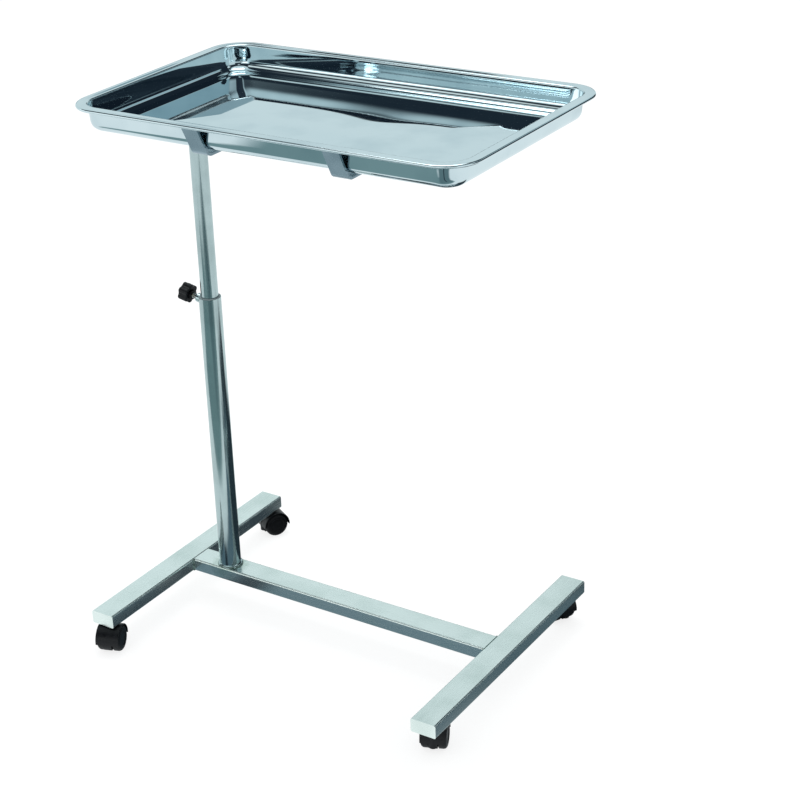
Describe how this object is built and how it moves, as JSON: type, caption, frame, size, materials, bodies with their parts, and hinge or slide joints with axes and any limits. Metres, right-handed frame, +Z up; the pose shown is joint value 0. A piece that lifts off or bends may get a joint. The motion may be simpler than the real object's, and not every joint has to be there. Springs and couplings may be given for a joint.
{
  "type": "mayo instrument stand",
  "caption": "Height-adjustable instrument stand: lift-off steel tray on strip hoops, telescopic post with clamp knob, H base on castors.",
  "frame": {"origin": "on the floor, under the centre of the stand's bounding box", "axes": "+Z up; X along the tray and the centre bar, the post towards -X; Y across"},
  "size_m": [0.618, 0.4541, 0.8095],
  "materials": {
    "bar_steel": "satin stainless rectangular tube",
    "tube_steel": "polished stainless round tube",
    "strip_steel": "bent stainless flat strip",
    "tray_steel": "mirror-polished pressed stainless sheet",
    "plated_steel": "zinc-plated steel",
    "black_plastic": "black moulded nylon",
    "wheel_plastic": "black polyurethane tread on nylon",
    "dark_nylon": "dark grey nylon",
    "white_nylon": "natural nylon"
  },
  "bodies": {
    "base": {"left_cross_bar": "bar_steel", "right_cross_bar": "bar_steel", "bar_end_plates": "bar_steel", "centre_bar": "bar_steel", "lower_post_tube": "tube_steel", "guide_bush": "dark_nylon", "clamp_boss": "tube_steel", "castor_stems": "plated_steel", "stem_nuts": "plated_steel"},
    "clamp_shoe_body": {"clamp_shoe": "white_nylon"},
    "clamp_screw": {"clamp_stud": "plated_steel", "clamp_knob": "black_plastic"},
    "post_slider": {"slide_plug": "white_nylon"},
    "carrier": {"upper_post_tube": "tube_steel", "carrier_arm": "bar_steel", "arm_end_plugs": "black_plastic", "tray_hoop_left": "strip_steel", "tray_hoop_right": "strip_steel"},
    "tray": {"tray_pan": "tray_steel"},
    "castor_left_near": {"castor_left_near_hood": "black_plastic", "castor_left_near_axle": "plated_steel"},
    "castor_left_near_wheel_a": {"castor_left_near_wheel_a": "wheel_plastic"},
    "castor_left_near_wheel_b": {"castor_left_near_wheel_b": "wheel_plastic"},
    "castor_left_far": {"castor_left_far_hood": "black_plastic", "castor_left_far_axle": "plated_steel"},
    "castor_left_far_wheel_a": {"castor_left_far_wheel_a": "wheel_plastic"},
    "castor_left_far_wheel_b": {"castor_left_far_wheel_b": "wheel_plastic"},
    "castor_right_near": {"castor_right_near_hood": "black_plastic", "castor_right_near_axle": "plated_steel"},
    "castor_right_near_wheel_a": {"castor_right_near_wheel_a": "wheel_plastic"},
    "castor_right_near_wheel_b": {"castor_right_near_wheel_b": "wheel_plastic"},
    "castor_right_far": {"castor_right_far_hood": "black_plastic", "castor_right_far_axle": "plated_steel"},
    "castor_right_far_wheel_a": {"castor_right_far_wheel_a": "wheel_plastic"},
    "castor_right_far_wheel_b": {"castor_right_far_wheel_b": "wheel_plastic"}
  },
  "joints": [
    {"name": "clamp_knob_turn", "type": "hinge", "parent": "clamp_shoe_body", "child": "clamp_screw", "pos_m": [-0.215, 0, 0.4835], "axis": [-0.9781, 0, 0.2079], "range_deg": [0, 720]},
    {"name": "clamp_advance", "type": "slide", "parent": "base", "child": "clamp_shoe_body", "axis": [-0.9781, 0, 0.2079], "range_m": [0, 0.003]},
    {"name": "post_height", "type": "slide", "parent": "base", "child": "post_slider", "axis": [0, 0, 1], "range_m": [-0.236, 0.106]},
    {"name": "tray_swivel", "type": "hinge", "parent": "post_slider", "child": "carrier", "pos_m": [-0.215, 0, 0.7455], "axis": [0, 0, 1], "continuous": true},
    {"name": "tray_lift_off", "type": "slide", "parent": "carrier", "child": "tray", "axis": [0, 0, 1], "range_m": [0, 0.12]},
    {"name": "castor_left_near_swivel", "type": "hinge", "parent": "base", "child": "castor_left_near", "pos_m": [-0.29, -0.186, 0.042], "axis": [0, 0, 1], "continuous": true},
    {"name": "castor_left_near_wheel_a_roll", "type": "hinge", "parent": "castor_left_near", "child": "castor_left_near_wheel_a", "pos_m": [-0.28453, -0.20103, 0.019], "axis": [0.9397, 0.342, 0], "continuous": true},
    {"name": "castor_left_near_wheel_b_roll", "type": "hinge", "parent": "castor_left_near", "child": "castor_left_near_wheel_b", "pos_m": [-0.28453, -0.20103, 0.019], "axis": [0.9397, 0.342, 0], "continuous": true},
    {"name": "castor_left_far_swivel", "type": "hinge", "parent": "base", "child": "castor_left_far", "pos_m": [-0.29, 0.186, 0.042], "axis": [0, 0, 1], "continuous": true},
    {"name": "castor_left_far_wheel_a_roll", "type": "hinge", "parent": "castor_left_far", "child": "castor_left_far_wheel_a", "pos_m": [-0.282, 0.19986, 0.019], "axis": [-0.866, 0.5, 0], "continuous": true},
    {"name": "castor_left_far_wheel_b_roll", "type": "hinge", "parent": "castor_left_far", "child": "castor_left_far_wheel_b", "pos_m": [-0.282, 0.19986, 0.019], "axis": [-0.866, 0.5, 0], "continuous": true},
    {"name": "castor_right_near_swivel", "type": "hinge", "parent": "base", "child": "castor_right_near", "pos_m": [0.251, -0.186, 0.042], "axis": [0, 0, 1], "continuous": true},
    {"name": "castor_right_near_wheel_a_roll", "type": "hinge", "parent": "castor_right_near", "child": "castor_right_near_wheel_a", "pos_m": [0.24501, -0.17117, 0.019], "axis": [-0.9272, -0.3746, 0], "continuous": true},
    {"name": "castor_right_near_wheel_b_roll", "type": "hinge", "parent": "castor_right_near", "child": "castor_right_near_wheel_b", "pos_m": [0.24501, -0.17117, 0.019], "axis": [-0.9272, -0.3746, 0], "continuous": true},
    {"name": "castor_right_far_swivel", "type": "hinge", "parent": "base", "child": "castor_right_far", "pos_m": [0.251, 0.186, 0.042], "axis": [0, 0, 1], "continuous": true},
    {"name": "castor_right_far_wheel_a_roll", "type": "hinge", "parent": "castor_right_far", "child": "castor_right_far_wheel_a", "pos_m": [0.23687, 0.19351, 0.019], "axis": [-0.4695, -0.8829, 0], "continuous": true},
    {"name": "castor_right_far_wheel_b_roll", "type": "hinge", "parent": "castor_right_far", "child": "castor_right_far_wheel_b", "pos_m": [0.23687, 0.19351, 0.019], "axis": [-0.4695, -0.8829, 0], "continuous": true}
  ],
  "couplings": [
    {"joint": "clamp_advance", "follows": "clamp_knob_turn", "m_per_rad": 0.00019894}
  ]
}
